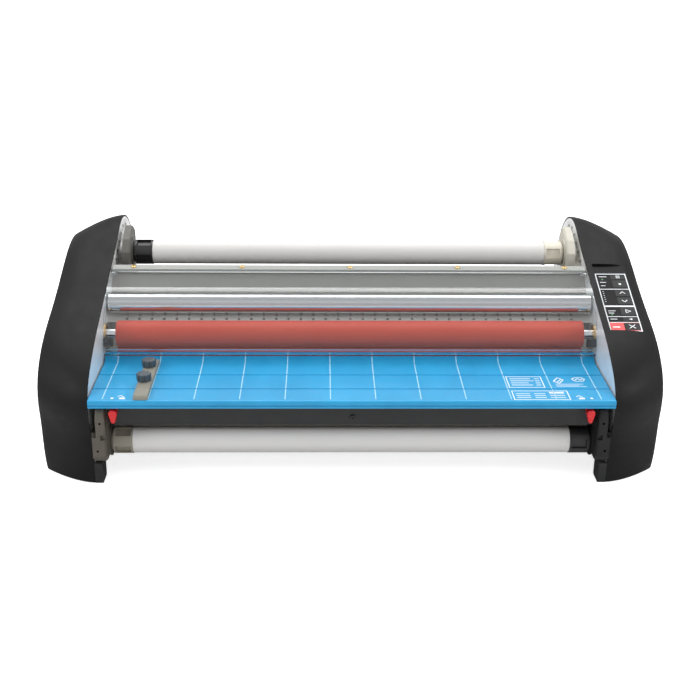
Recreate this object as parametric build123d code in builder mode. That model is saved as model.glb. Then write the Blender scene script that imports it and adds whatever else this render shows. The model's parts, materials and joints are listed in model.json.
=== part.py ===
from build123d import *
from math import acos, atan2, cos, pi, radians, sin, tan
import os

# A 27 inch thermal roll laminator. Millimetres, +X to the operator's right, +Y away from
# the operator, +Z up, the floor at Z = 0 and the machine centred on X = Y = 0.

# ---------------------------------------------------------------- driving dimensions
HALF_WIDTH = 450.0
HALF_DEPTH = 250.0
HEIGHT = 300.0

PLATE_IN = 371.0          # inner face of each side plate
PLATE_OUT = 374.0         # outer face of each side plate
PLATE_INSET = 2.6         # plate edge inside the rim of the side cover
RIM_GAP = 0.1
COVER_WALL = 4.2

MAIN_Y = -78.0            # heated roller pair
PULL_Y = 118.0            # pull roller pair behind it
LOWER_Z = 136.0
UPPER_Z = 176.0
ROLLER_D = 39.8
ROLLER_CORE_D = 34.0
ROLLER_HALF = 352.5
JOURNAL_D = 15.0
RUNNING_GAP = 0.05        # radial clearance of every running fit

MODULE = 2.0
ROLLER_TEETH = 20
IDLER_TEETH = 78
PINION_TEETH = 16
PRESSURE_ANGLE = radians(20)
ADDENDUM = 0.9
DEDENDUM = 1.25
BACKLASH = 0.35
GEAR_X = 380.0
GEAR_WIDTH = 10.0

UPPER_IDLER = (-46.0, 213.0)
LOWER_IDLER = (-120.0, 99.0)
UPPER_SUPPLY = (78.0, 257.0)
LOWER_SUPPLY = (-205.0, 61.0)
TUBE_D = 38.0
TUBE_BORE = 26.0
TUBE_HALF = 315.0
CAP_END = 345.5

TRAY_FRONT = -250.0
TRAY_TOP = 142.0
TRAY_HALF = 369.0
GROOVES = (-207.4, -157.0)

SHIELD_PIVOT = (8.0, 248.88)
SHIELD_HALF = 368.5
SHIELD_T = 3.0

PANEL_CENTRE_X = 406.5
PANEL_WIDTH = 51.0
PANEL_LENGTH = 159.0
PANEL_SUNK = 4.0          # panel centre below the slope of the side cover
PANEL_DEPTH = 8.0

os.makedirs("parts", exist_ok=True)


def save(part, name):
    part.label = name
    export_step(part, f"parts/{name}.step")


# ---------------------------------------------------------------- shared helpers
def rod(x_start, x_end, centre, diameter, mode=Mode.ADD):
    """Round bar along X."""
    with BuildSketch(Plane.YZ.offset(x_start)) as disc:
        with Locations(centre):
            Circle(diameter / 2)
    extrude(disc.sketch, amount=x_end - x_start, mode=mode)


def block(x_span, y_span, z_span, mode=Mode.ADD):
    """Square-cornered block between the given limits."""
    middle = (sum(x_span) / 2, sum(y_span) / 2, sum(z_span) / 2)
    with Locations(middle):
        Box(x_span[1] - x_span[0], y_span[1] - y_span[0], z_span[1] - z_span[0], mode=mode)


def section_bar(x_start, x_end, corners):
    """Constant section along X, drawn as corners in the YZ plane."""
    with BuildSketch(Plane.YZ.offset(x_start)) as section:
        with BuildLine():
            Polyline(*corners, close=True)
        make_face()
    extrude(section.sketch, amount=x_end - x_start)


def bent_sheet(x_start, x_end, path, radii, thickness):
    """Sheet along X with one face on a YZ polyline with rounded bends."""
    with BuildSketch(Plane.YZ.offset(x_start)) as section:
        with BuildLine():
            FilletPolyline(*path, radius=radii)
            offset(amount=thickness, side=Side.RIGHT)
        make_face()
    extrude(section.sketch, amount=x_end - x_start)


def involute(angle):
    return tan(angle) - angle


def gear_points(centre, teeth, phase_degrees):
    """Spur gear outline about the centre, with one tooth centred on the phase angle."""
    pitch_r = MODULE * teeth / 2
    base_r = pitch_r * cos(PRESSURE_ANGLE)
    tip_r = pitch_r + ADDENDUM * MODULE
    root_r = pitch_r - DEDENDUM * MODULE
    half_at_pitch = pi / (2 * teeth) - BACKLASH / (4 * pitch_r)
    start_r = max(base_r, root_r)
    flank = []
    for step in range(4):
        r = start_r + (tip_r - start_r) * step / 3
        roll = acos(min(1.0, base_r / r))
        flank.append((r, half_at_pitch + involute(PRESSURE_ANGLE) - involute(roll)))
    if base_r > root_r:
        flank.insert(0, (root_r, flank[0][1]))
    points = []
    for tooth in range(teeth):
        middle = radians(phase_degrees) + 2 * pi * tooth / teeth
        for r, half in flank:
            points.append((r, middle - half))
        for r, half in reversed(flank):
            points.append((r, middle + half))
    return [(centre[0] + r * cos(angle), centre[1] + r * sin(angle)) for r, angle in points]


def spur_gear(centre, teeth, phase_degrees, x_start=GEAR_X, width=GEAR_WIDTH):
    with BuildSketch(Plane.YZ.offset(x_start)) as outline:
        with BuildLine():
            Polyline(*gear_points(centre, teeth, phase_degrees), close=True)
        make_face()
    extrude(outline.sketch, amount=width)


# ---------------------------------------------------------------- gear train layout
# The lower heated roller drives the lower pull roller through one large idler; each lower
# roller drives the one above it, and the motor pinion meshes with the idler from below.
ROLLER_PITCH_R = MODULE * ROLLER_TEETH / 2
IDLER_PITCH_R = MODULE * IDLER_TEETH / 2
PINION_PITCH_R = MODULE * PINION_TEETH / 2
IDLER_GEAR = (MAIN_Y + ROLLER_PITCH_R + IDLER_PITCH_R, LOWER_Z)
IDLER_TOOTH_STEP = 360 / IDLER_TEETH
PINION_DIRECTION = 68 * IDLER_TOOTH_STEP
PINION_REACH = IDLER_PITCH_R + PINION_PITCH_R
MOTOR = (
    IDLER_GEAR[0] + PINION_REACH * cos(radians(PINION_DIRECTION)),
    IDLER_GEAR[1] + PINION_REACH * sin(radians(PINION_DIRECTION)),
)
HALF_ROLLER_STEP = 180 / ROLLER_TEETH
# Seventy-eight teeth put a tooth on both sides of the idler, so its phase is half a step.
IDLER_PHASE = IDLER_TOOTH_STEP / 2
PINION_PHASE = PINION_DIRECTION + 180

# ---------------------------------------------------------------- side cover outline
# Corner points (Y, Z) of the cover's edge against the side plate, how far each of them has
# moved at the outer face, and how late: a high power keeps the surface level for longer.
FRONT_EDGE = (
    ((-227, 2), (44, 0), 1.6),
    ((-224, 34), (32, 0), 1.6),
    ((-234, 86), (38, 0), 1.6),
    ((-242, 120), (42, 4), 1.6),
    ((-228, 153), (38, 0), 1.6),
    ((-198, 176), (24, -6), 2.5),
    ((-160, 195), (12, -8), 3.5),
)
REAR_EDGE = (
    ((75, 282), (-4, -16), 3.5),
    ((122, 300), (-4, -28), 1.6),
    ((176, 289), (-16, -28), 1.6),
    ((232, 224), (-26, -20), 1.6),
    ((250, 128), (-28, -4), 1.6),
    ((246, 2), (-40, 0), 1.6),
)
SLOPE_FOOT = FRONT_EDGE[-1][0]
SLOPE_HEAD = REAR_EDGE[0][0]
SLOPE = atan2(SLOPE_HEAD[1] - SLOPE_FOOT[1], SLOPE_HEAD[0] - SLOPE_FOOT[0])
MIDDLE_Z = HEIGHT / 2
COVER_STATIONS = (0.0, 0.25, 0.5, 0.75, 1.0)
COVER_CORNER = 3.0


def turned(corner, station, inset):
    """A corner of the cover section, moved for its station and pulled in by the inset."""
    point, shift, lateness = corner
    share = station ** lateness
    y = point[0] + shift[0] * share
    z = point[1] + shift[1] * share
    y = y * (1 - inset / HALF_DEPTH)
    z = MIDDLE_Z + (z - MIDDLE_Z) * (1 - inset / (HEIGHT / 2))
    return (y, z)


def cover_section(x, station, inset):
    """Closed outline of the cover at one station, as a face in the YZ plane."""
    front = [turned(corner, station, inset) for corner in FRONT_EDGE]
    rear = [turned(corner, station, inset) for corner in REAR_EDGE]
    slope_low = Vector(*front[-1])
    slope_high = Vector(*rear[0])
    straight = [slope_low + (slope_high - slope_low) * share for share in (0.33, 0.67)]
    with BuildSketch(Plane.YZ.offset(x)) as section:
        with BuildLine():
            Spline(*front, *straight, *rear)
            Line(rear[-1], front[0])
        make_face()
    return section.sketch.face()


def cover_solid(x_start, inset, corner):
    """Body of a right-hand side cover from x_start outward, with its outer corner rounded."""
    width = HALF_WIDTH - x_start - inset
    sections = [cover_section(x_start + width * station, station, inset) for station in COVER_STATIONS]
    body = loft(sections)
    fillet(body.edges().group_by(Axis.X)[-1], corner)


# ---------------------------------------------------------------- control panel frame
# The panel lies in the slope of the right-hand cover.
PANEL_CENTRE_Y = -59.0
PANEL_CENTRE_Z = SLOPE_FOOT[1] + (PANEL_CENTRE_Y - SLOPE_FOOT[0]) * tan(SLOPE) - PANEL_SUNK
PANEL_PLANE = Plane(
    origin=(PANEL_CENTRE_X, PANEL_CENTRE_Y, PANEL_CENTRE_Z),
    x_dir=(1, 0, 0),
    z_dir=(0, -sin(SLOPE), cos(SLOPE)),
)
KEY_WIDTH = 22.0
KEY_X = 10.5
KEY_T = 2.0
KEY_GAP = 0.1
KEY_PROUD = 0.4
KEY_POCKET = 2.6
# Name, centre along the panel and length along the panel of each key.
KEYS = (
    ("menu_key", 50.3, 12.5),
    ("setup_key", 33.0, 18.0),
    ("up_key", 11.0, 15.5),
    ("down_key", -7.3, 15.5),
    ("run_key", -32.0, 18.0),
    ("reverse_key", -50.5, 9.5),
    ("stop_key", -67.0, 16.0),
)

# ---------------------------------------------------------------- supply roll brackets
BRACKET_FACE = 348.0
BRACKET_BOSS_D = 46.0
STUB_D = 16.0
STUB_END = 361.0
UPPER_BRACKET = ((44, 232), (44, 266), (60, 283), (97, 296), (113, 284), (113, 232))
UPPER_ARM = 13.0                  # thickness of the slab that carries the upper roll
UPPER_FOOT_TOP = 246.0            # below this the slab widens into a foot on the side plate
LOWER_BRACKET = ((-248, 54), (-248, 112), (-240, 125), (-190, 125), (-178, 112), (-178, 58), (-190, 43),
                 (-238, 43))
LOWER_BRACKET_FRONT = LOWER_BRACKET[0][0]
LOWER_BRACKET_TOP = 125.0
LOWER_BLOCK_STEP = 4.5            # the block of the lower bracket is stepped in ahead of the plate
LOWER_BLOCK_STEP_Y = -231.0
LOWER_ARM = 13.0                  # thickness of the slender arm above the block
LOWER_ARM_Z = 84.0                # height where the arm starts
LOWER_ARM_Y = -192.0              # the arm is full width behind this
LOWER_NOTCH_WIDTH = 7.0
LOWER_NOTCH_DEPTH = 4.0
LOWER_NOTCH_Z = (80.0, 88.0)
LOWER_FRONT_HOLES = ((6.5, 106.0), (12.0, 63.0))  # from the bracket's face, and height
LOWER_FRONT_HOLE_D = 3.6
LOWER_FRONT_HOLE_DEPTH = 8.0
UPPER_BRACKET_SCREWS = ((52, 240), (105, 240))
LOWER_BRACKET_SCREWS = ((-221, 78), (-186, 100))
BRACKET_SCREW_D = 4.0
BRACKET_SCREW_DEPTH = 12.0

# ---------------------------------------------------------------- side plates
TIE_BAR = 12.0
TIE_BARS = ((-125.0, 132.0), (205.0, 214.0), (150.0, 60.0))
BUSHING_OD = 22.0
PLATE_HOLE_SQUARE = (2.0, 236.0)
IDLER_JOURNAL_D = 8.0
PIVOT_D = 5.0
GEAR_SHAFT_D = 10.0
MOTOR_SHAFT_D = 8.0


def drilled_plate(x_start, with_drive):
    """Side plate from x_start outward, drilled for every shaft and screw it carries."""
    outline = cover_section(x_start, 0, PLATE_INSET)
    extrude(outline, amount=PLATE_OUT - PLATE_IN)
    with BuildSketch(Plane.YZ.offset(x_start)) as holes:
        with Locations((MAIN_Y, LOWER_Z), (MAIN_Y, UPPER_Z), (PULL_Y, LOWER_Z), (PULL_Y, UPPER_Z)):
            Circle(BUSHING_OD / 2)
        with Locations(UPPER_IDLER, LOWER_IDLER):
            Circle(IDLER_JOURNAL_D / 2 + RUNNING_GAP)
        with Locations(SHIELD_PIVOT):
            Circle(PIVOT_D / 2 + RUNNING_GAP)
        with Locations(*UPPER_BRACKET_SCREWS, *LOWER_BRACKET_SCREWS):
            Circle(BRACKET_SCREW_D / 2)
        with Locations(PLATE_HOLE_SQUARE):
            RectangleRounded(7, 7, 1.5)
        with Locations((150, 150), (-165, 120)):
            SlotOverall(46, 16)
        if with_drive:
            with Locations(IDLER_GEAR):
                Circle(GEAR_SHAFT_D / 2 + RUNNING_GAP)
            with Locations(MOTOR):
                Circle(MOTOR_SHAFT_D / 2 + 4)
    extrude(holes.sketch, amount=PLATE_OUT - PLATE_IN, mode=Mode.SUBTRACT)


with BuildPart() as side_plate_left:
    drilled_plate(-PLATE_OUT, with_drive=False)
save(side_plate_left.part, "side_plate_left")

with BuildPart() as side_plate_right:
    drilled_plate(PLATE_IN, with_drive=True)
save(side_plate_right.part, "side_plate_right")

with BuildPart() as tie_bars:
    for y, z in TIE_BARS:
        half = TIE_BAR / 2
        block((-PLATE_IN, PLATE_IN), (y - half, y + half), (z - half, z + half))
save(tie_bars.part, "tie_bars")

# ---------------------------------------------------------------- base pan, panels, feet
PAN_T = 2.0
PAN_Z = 32.0
PAN_FRONT = -105.0
PAN_REAR = 232.0
FAN_X = 150.0
FAN_Y = 20.0
FAN_SIZE = 80.0
FAN_BORE = 74.0
FAN_T = 20.0

with BuildPart() as base_pan:
    block((-PLATE_IN, PLATE_IN), (PAN_FRONT, PAN_REAR), (PAN_Z, PAN_Z + PAN_T))
    block((-PLATE_IN, PLATE_IN), (PAN_FRONT, PAN_FRONT + PAN_T), (PAN_Z + PAN_T, PAN_Z + 14))
    with BuildSketch(Plane.XY.offset(PAN_Z)):
        with Locations((-FAN_X, FAN_Y), (FAN_X, FAN_Y)):
            Circle(FAN_BORE / 2)
        with Locations((0, 150)):
            with GridLocations(22, 0, 15, 1):
                SlotOverall(70, 8, rotation=90)
    extrude(amount=PAN_T, mode=Mode.SUBTRACT)
save(base_pan.part, "base_pan")

FRONT_WEB_Y = -222.0
FRONT_PANEL_Z = (93.0, 138.0)
FRONT_FLANGE = 40.0
SHEET_T = 2.0
LATCH_X = 336.0
LATCH_Z = 120.0
LATCH_PIN_D = 5.0
FRONT_SCREW = (0.0, 104.0)
FRONT_SCREW_D = 4.0
FRONT_SCREW_HEAD_D = 8.0
FRONT_SCREW_HEAD = 2.5
FRONT_SCREW_LENGTH = 8.0
BRACKET_CLEAR_Z = 128.0   # the panel is notched below this height to clear the roll brackets

with BuildPart() as front_panel:
    low, high = FRONT_PANEL_Z
    block((-PLATE_IN, PLATE_IN), (FRONT_WEB_Y, FRONT_WEB_Y + SHEET_T), (low, high))
    for z in (low, high - SHEET_T):
        block((-PLATE_IN, PLATE_IN), (FRONT_WEB_Y + SHEET_T, FRONT_WEB_Y + FRONT_FLANGE), (z, z + SHEET_T))
    for side in (-1, 1):
        x_span = sorted((side * (CAP_END - 1), side * PLATE_IN))
        block(x_span, (FRONT_WEB_Y, FRONT_WEB_Y + 50), (low, BRACKET_CLEAR_Z), mode=Mode.SUBTRACT)
    with BuildSketch(Plane.XZ.offset(-FRONT_WEB_Y)):
        with Locations(FRONT_SCREW):
            Circle(FRONT_SCREW_D / 2)
        with Locations((-LATCH_X, LATCH_Z), (LATCH_X, LATCH_Z)):
            Circle(LATCH_PIN_D / 2 + RUNNING_GAP)
    extrude(amount=-SHEET_T, mode=Mode.SUBTRACT)
save(front_panel.part, "front_panel")

MODULE_X = (-322.0, -250.0)
MODULE_Z = (58.0, 90.0)
REAR_PANEL_TOP = 128.0

with BuildPart() as rear_panel:
    block((-PLATE_IN, PLATE_IN), (PAN_REAR, PAN_REAR + SHEET_T), (PAN_Z, REAR_PANEL_TOP))
    block((-PLATE_IN, PLATE_IN), (PAN_REAR - 30, PAN_REAR), (REAR_PANEL_TOP - SHEET_T, REAR_PANEL_TOP))
    block(MODULE_X, (PAN_REAR, PAN_REAR + SHEET_T), MODULE_Z, mode=Mode.SUBTRACT)
    with BuildSketch(Plane.XZ.offset(-PAN_REAR)):
        with Locations((60, 75)):
            with GridLocations(18, 0, 24, 1):
                SlotOverall(44, 6, rotation=90)
    extrude(amount=-SHEET_T, mode=Mode.SUBTRACT)
save(rear_panel.part, "rear_panel")

FOOT_TOP = 32.0
FOOT_T = 11.0
FEET_Y = ((-227, -197), (200, 230))
with BuildPart() as feet:
    for side in (-1, 1):
        for y_span in FEET_Y:
            x_span = sorted((side * (PLATE_IN - FOOT_T), side * PLATE_IN))
            block(x_span, y_span, (0, FOOT_TOP))
    fillet(feet.edges().filter_by(Axis.X), 4)
save(feet.part, "feet")

# ---------------------------------------------------------------- film and heat guards
GUARD_PATH = ((14, 241), (-20, 200), (-20, 192))
with BuildPart() as film_guard:
    bent_sheet(-PLATE_IN, PLATE_IN, GUARD_PATH, 6, 1.5)
save(film_guard.part, "film_guard")

# The heat guard leans towards the operator under the upper idler and turns down behind.
HEAT_GUARD_PATH = ((-57, 187), (-36, 196), (-36, 158))
HEAT_GUARD_TILT = atan2(196 - 187, 57 - 36)
HEAT_GUARD_T = 1.5
HEAT_GUARD_HOLE_D = 4.4
HEAT_GUARD_FACE = Plane(
    origin=(0, -46.5, 191.5),
    x_dir=(1, 0, 0),
    z_dir=(0, -sin(HEAT_GUARD_TILT), cos(HEAT_GUARD_TILT)),
)
with BuildPart() as heat_guard:
    bent_sheet(-PLATE_IN, PLATE_IN, HEAT_GUARD_PATH, 2, HEAT_GUARD_T)
    with BuildSketch(HEAT_GUARD_FACE):
        with GridLocations(19, 9, 37, 2):
            Circle(HEAT_GUARD_HOLE_D / 2)
    extrude(amount=-2 * HEAT_GUARD_T, mode=Mode.SUBTRACT)
save(heat_guard.part, "heat_guard")

# ---------------------------------------------------------------- bearings and heaters
with BuildPart() as roller_bushings:
    for side in (-1, 1):
        for y in (MAIN_Y, PULL_Y):
            for z in (LOWER_Z, UPPER_Z):
                rod(side * (PLATE_IN - 2.5), side * PLATE_IN, (y, z), 30)
                rod(side * PLATE_IN, side * (PLATE_OUT + 2.5), (y, z), BUSHING_OD)
                rod(side * (PLATE_IN - 2.5), side * (PLATE_OUT + 2.5), (y, z),
                    JOURNAL_D + 2 * RUNNING_GAP, mode=Mode.SUBTRACT)
save(roller_bushings.part, "roller_bushings")

# The two quartz heater rods lie loose in a ceramic holder at each end, outside the side plates.
HEATER_D = 8.0
HEATER_END = 404.0
HEATER_PLAY = 0.2
HOLDER_X = 396.0
HOLDER_T = 3.0
HOLDER_Z = (98.0, 207.0)
HOLDER_POST_D = 6.0
with BuildPart() as heaters:
    for side in (-1, 1):
        holder_span = sorted((side * HOLDER_X, side * (HOLDER_X + HOLDER_T)))
        block(holder_span, (MAIN_Y - HOLDER_POST_D, MAIN_Y + HOLDER_POST_D), HOLDER_Z)
        for z in (HOLDER_Z[0] + HOLDER_POST_D, HOLDER_Z[1] - 4):
            rod(side * PLATE_OUT, side * HOLDER_X, (MAIN_Y, z), HOLDER_POST_D)
    for z in (LOWER_Z, UPPER_Z):
        rod(-HEATER_END, HEATER_END, (MAIN_Y, z), HEATER_D + HEATER_PLAY, mode=Mode.SUBTRACT)
        rod(-HEATER_END, HEATER_END, (MAIN_Y, z), HEATER_D)
save(heaters.part, "heaters")

# ---------------------------------------------------------------- heated and pull rollers
HEATER_BORE = 11.0
CORE_HOLLOW_D = 25.0
JOURNAL_LEFT = -386.0
JOURNAL_RIGHT = 392.0


def heated_core(z):
    rod(-ROLLER_HALF, ROLLER_HALF, (MAIN_Y, z), ROLLER_CORE_D)
    rod(JOURNAL_LEFT, JOURNAL_RIGHT, (MAIN_Y, z), JOURNAL_D)
    rod(JOURNAL_LEFT, JOURNAL_RIGHT, (MAIN_Y, z), HEATER_BORE, mode=Mode.SUBTRACT)
    rod(-ROLLER_HALF + 16, ROLLER_HALF - 16, (MAIN_Y, z), CORE_HOLLOW_D, mode=Mode.SUBTRACT)


def heated_sleeve(z):
    rod(-ROLLER_HALF, ROLLER_HALF, (MAIN_Y, z), ROLLER_D)
    rod(-ROLLER_HALF, ROLLER_HALF, (MAIN_Y, z), ROLLER_CORE_D, mode=Mode.SUBTRACT)


def heated_gear(z, phase):
    spur_gear((MAIN_Y, z), ROLLER_TEETH, phase)
    rod(GEAR_X, GEAR_X + GEAR_WIDTH, (MAIN_Y, z), JOURNAL_D, mode=Mode.SUBTRACT)


def pull_roller(z, phase):
    rod(-ROLLER_HALF, ROLLER_HALF, (PULL_Y, z), ROLLER_D)
    rod(JOURNAL_LEFT + 4, GEAR_X, (PULL_Y, z), JOURNAL_D)
    spur_gear((PULL_Y, z), ROLLER_TEETH, phase)


with BuildPart() as upper_heat_core:
    heated_core(UPPER_Z)
save(upper_heat_core.part, "upper_heat_core")

with BuildPart() as upper_heat_sleeve:
    heated_sleeve(UPPER_Z)
save(upper_heat_sleeve.part, "upper_heat_sleeve")

with BuildPart() as upper_heat_gear:
    heated_gear(UPPER_Z, HALF_ROLLER_STEP)
save(upper_heat_gear.part, "upper_heat_gear")

with BuildPart() as lower_heat_core:
    heated_core(LOWER_Z)
save(lower_heat_core.part, "lower_heat_core")

with BuildPart() as lower_heat_sleeve:
    heated_sleeve(LOWER_Z)
save(lower_heat_sleeve.part, "lower_heat_sleeve")

with BuildPart() as lower_heat_gear:
    heated_gear(LOWER_Z, 0)
save(lower_heat_gear.part, "lower_heat_gear")

with BuildPart() as upper_pull_roller:
    pull_roller(UPPER_Z, HALF_ROLLER_STEP)
save(upper_pull_roller.part, "upper_pull_roller")

with BuildPart() as lower_pull_roller:
    pull_roller(LOWER_Z, 0)
save(lower_pull_roller.part, "lower_pull_roller")

# ---------------------------------------------------------------- drive
with BuildPart() as idler_gear:
    spur_gear(IDLER_GEAR, IDLER_TEETH, IDLER_PHASE)
    with BuildSketch(Plane.YZ.offset(GEAR_X)):
        with Locations(IDLER_GEAR):
            with PolarLocations(46, 6):
                Circle(16)
    extrude(amount=GEAR_WIDTH, mode=Mode.SUBTRACT)
    rod(PLATE_IN - 3, GEAR_X, IDLER_GEAR, GEAR_SHAFT_D)
    rod(PLATE_OUT + 1, GEAR_X, IDLER_GEAR, 22)
save(idler_gear.part, "idler_gear")

MOTOR_D = 56.0
MOTOR_FRONT = 303.0
with BuildPart() as motor_pinion:
    spur_gear(MOTOR, PINION_TEETH, PINION_PHASE)
    rod(MOTOR_FRONT + 30, GEAR_X, MOTOR, MOTOR_SHAFT_D)
save(motor_pinion.part, "motor_pinion")

with BuildPart() as drive_motor:
    rod(MOTOR_FRONT, PLATE_IN - 16, MOTOR, MOTOR_D)
    fillet(drive_motor.faces().sort_by(Axis.X)[0].edges(), 4)
    rod(PLATE_IN - 16, PLATE_IN, MOTOR, MOTOR_D + 4)
    rod(MOTOR_FRONT + 30, PLATE_IN, MOTOR, MOTOR_SHAFT_D + 2 * RUNNING_GAP, mode=Mode.SUBTRACT)
save(drive_motor.part, "drive_motor")

# ---------------------------------------------------------------- film idlers
IDLER_HALF = 367.5


def film_idler(centre, diameter):
    rod(-IDLER_HALF, IDLER_HALF, centre, diameter)
    rod(-IDLER_HALF + 8, IDLER_HALF - 8, centre, diameter - 6, mode=Mode.SUBTRACT)
    for side in (-1, 1):
        rod(side * IDLER_HALF, side * (PLATE_OUT + 2), centre, IDLER_JOURNAL_D)


with BuildPart() as upper_film_idler:
    film_idler(UPPER_IDLER, 31)
save(upper_film_idler.part, "upper_film_idler")

with BuildPart() as lower_film_idler:
    film_idler(LOWER_IDLER, 24)
save(lower_film_idler.part, "lower_film_idler")

# ---------------------------------------------------------------- supply rolls
CAP_D = 39.5
CAP_SLOTS = 4
CAP_SLOT_WIDTH = 15.0
CAP_SLOT_DEPTH = 5.0


def film_tube(centre):
    rod(-TUBE_HALF, TUBE_HALF, centre, TUBE_D)
    rod(-TUBE_HALF, TUBE_HALF, centre, TUBE_BORE, mode=Mode.SUBTRACT)


def end_cap(side, centre, slot_start):
    """Roll end cap: a plug in the tube, a slotted grip and a stub that turns in the bracket."""
    rod(side * (TUBE_HALF - 20), side * TUBE_HALF, centre, TUBE_BORE)
    rod(side * TUBE_HALF, side * (CAP_END - 3), centre, CAP_D)
    rod(side * (CAP_END - 3), side * CAP_END, centre, CAP_D - 8)
    rod(side * CAP_END, side * (STUB_END - 1), centre, STUB_D)
    middle = side * (TUBE_HALF + CAP_END - 3) / 2
    with BuildSketch(Plane.YZ.offset(middle - 11)) as slots:
        with Locations(centre):
            with PolarLocations(CAP_D / 2, CAP_SLOTS, start_angle=slot_start):
                Rectangle(2 * CAP_SLOT_DEPTH, CAP_SLOT_WIDTH)
    extrude(slots.sketch, amount=22, mode=Mode.SUBTRACT)


with BuildPart() as upper_film_tube:
    film_tube(UPPER_SUPPLY)
save(upper_film_tube.part, "upper_film_tube")

with BuildPart() as lower_film_tube:
    film_tube(LOWER_SUPPLY)
save(lower_film_tube.part, "lower_film_tube")

CAPS = (
    ("upper_cap_left", -1, UPPER_SUPPLY, 20),
    ("upper_cap_right", 1, UPPER_SUPPLY, -15),
    ("lower_cap_left", -1, LOWER_SUPPLY, 28),
    ("lower_cap_right", 1, LOWER_SUPPLY, -5),
)
for name, side, centre, slot_start in CAPS:
    with BuildPart() as cap:
        end_cap(side, centre, slot_start)
    save(cap.part, name)


def shape_upper_bracket(side):
    """Sets the slab off from the side plate above its foot."""
    x_span = sorted((side * (BRACKET_FACE + UPPER_ARM), side * PLATE_IN))
    y_values = [y for y, z in UPPER_BRACKET]
    z_values = [z for y, z in UPPER_BRACKET]
    block(x_span, (min(y_values), max(y_values)), (UPPER_FOOT_TOP, max(z_values)), mode=Mode.SUBTRACT)


def shape_lower_bracket(side):
    """Steps the block back to a slender arm and cuts the notch and screw holes in its front."""
    front = LOWER_BRACKET_FRONT
    inner = side * BRACKET_FACE
    outer = side * PLATE_IN
    arm_outer = side * (BRACKET_FACE + LOWER_ARM)
    notch_end = inner + side * LOWER_NOTCH_WIDTH
    step_start = outer - side * LOWER_BLOCK_STEP
    block(sorted((arm_outer, outer)), (front, LOWER_ARM_Y), (LOWER_ARM_Z, LOWER_BRACKET_TOP), mode=Mode.SUBTRACT)
    block(sorted((step_start, outer)), (front, LOWER_BLOCK_STEP_Y), (0, LOWER_BRACKET_TOP), mode=Mode.SUBTRACT)
    block(sorted((inner, notch_end)), (front, front + LOWER_NOTCH_DEPTH), LOWER_NOTCH_Z, mode=Mode.SUBTRACT)
    with BuildSketch(Plane.XZ.offset(-front)) as holes:
        with Locations(*[(inner + side * inset, z) for inset, z in LOWER_FRONT_HOLES]):
            Circle(LOWER_FRONT_HOLE_D / 2)
    extrude(holes.sketch, amount=-LOWER_FRONT_HOLE_DEPTH, mode=Mode.SUBTRACT)


BRACKETS = (
    ("upper_bracket_left", -1, UPPER_SUPPLY, UPPER_BRACKET, UPPER_BRACKET_SCREWS),
    ("upper_bracket_right", 1, UPPER_SUPPLY, UPPER_BRACKET, UPPER_BRACKET_SCREWS),
    ("lower_bracket_left", -1, LOWER_SUPPLY, LOWER_BRACKET, LOWER_BRACKET_SCREWS),
    ("lower_bracket_right", 1, LOWER_SUPPLY, LOWER_BRACKET, LOWER_BRACKET_SCREWS),
)
for name, side, centre, corners, screws in BRACKETS:
    with BuildPart() as bracket:
        inner = side * BRACKET_FACE
        outer = side * PLATE_IN
        section_bar(min(inner, outer), max(inner, outer), corners)
        fillet(bracket.edges().filter_by(Axis.X), 3)
        face_edges = bracket.faces().sort_by(Axis.X)[0 if side > 0 else -1].edges()
        chamfer(face_edges, 2.5)
        rod(inner, side * (CAP_END + 0.5), centre, BRACKET_BOSS_D)
        rod(side * CAP_END, side * STUB_END, centre, STUB_D + 2 * RUNNING_GAP, mode=Mode.SUBTRACT)
        for screw in screws:
            rod(outer, side * (PLATE_IN - BRACKET_SCREW_DEPTH), screw, BRACKET_SCREW_D, mode=Mode.SUBTRACT)
        if corners is LOWER_BRACKET:
            shape_lower_bracket(side)
        else:
            shape_upper_bracket(side)
    save(bracket.part, name)

# ---------------------------------------------------------------- chassis screws
with BuildPart() as chassis_screws:
    for side in (-1, 1):
        for centre in (*UPPER_BRACKET_SCREWS, *LOWER_BRACKET_SCREWS):
            rod(side * (PLATE_IN - BRACKET_SCREW_DEPTH), side * PLATE_OUT, centre, BRACKET_SCREW_D)
            rod(side * PLATE_OUT, side * (PLATE_OUT + 2.5), centre, 8)
    with BuildSketch(Plane.XZ.offset(-FRONT_WEB_Y)):
        with Locations(FRONT_SCREW):
            Circle(FRONT_SCREW_HEAD_D / 2)
    extrude(amount=FRONT_SCREW_HEAD)
    with BuildSketch(Plane.XZ.offset(-FRONT_WEB_Y)):
        with Locations(FRONT_SCREW):
            Circle(FRONT_SCREW_D / 2)
    extrude(amount=-FRONT_SCREW_LENGTH)
    with BuildSketch(Plane.XZ.offset(-FRONT_WEB_Y + FRONT_SCREW_HEAD)):
        with Locations(FRONT_SCREW):
            RegularPolygon(1.5, 6)
    extrude(amount=-1.5, mode=Mode.SUBTRACT)
save(chassis_screws.part, "chassis_screws")

# ---------------------------------------------------------------- side covers
with BuildPart() as cover_cavity:
    cover_solid(PLATE_OUT, COVER_WALL, COVER_CORNER - 1)
    extrude(cover_section(PLATE_IN, 0, PLATE_INSET - RIM_GAP), amount=PLATE_OUT - PLATE_IN)

with BuildPart() as cover_shell:
    cover_solid(PLATE_IN, 0, COVER_CORNER)
    add(cover_cavity.part, mode=Mode.SUBTRACT)

with BuildPart() as side_cover_left:
    mirror(cover_shell.part, about=Plane.YZ)
save(side_cover_left.part, "side_cover_left")

with BuildPart() as side_cover_right:
    add(cover_shell.part)
    with BuildSketch(PANEL_PLANE):
        Rectangle(PANEL_WIDTH, PANEL_LENGTH)
    extrude(amount=30, both=True, mode=Mode.SUBTRACT)
save(side_cover_right.part, "side_cover_right")

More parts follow.
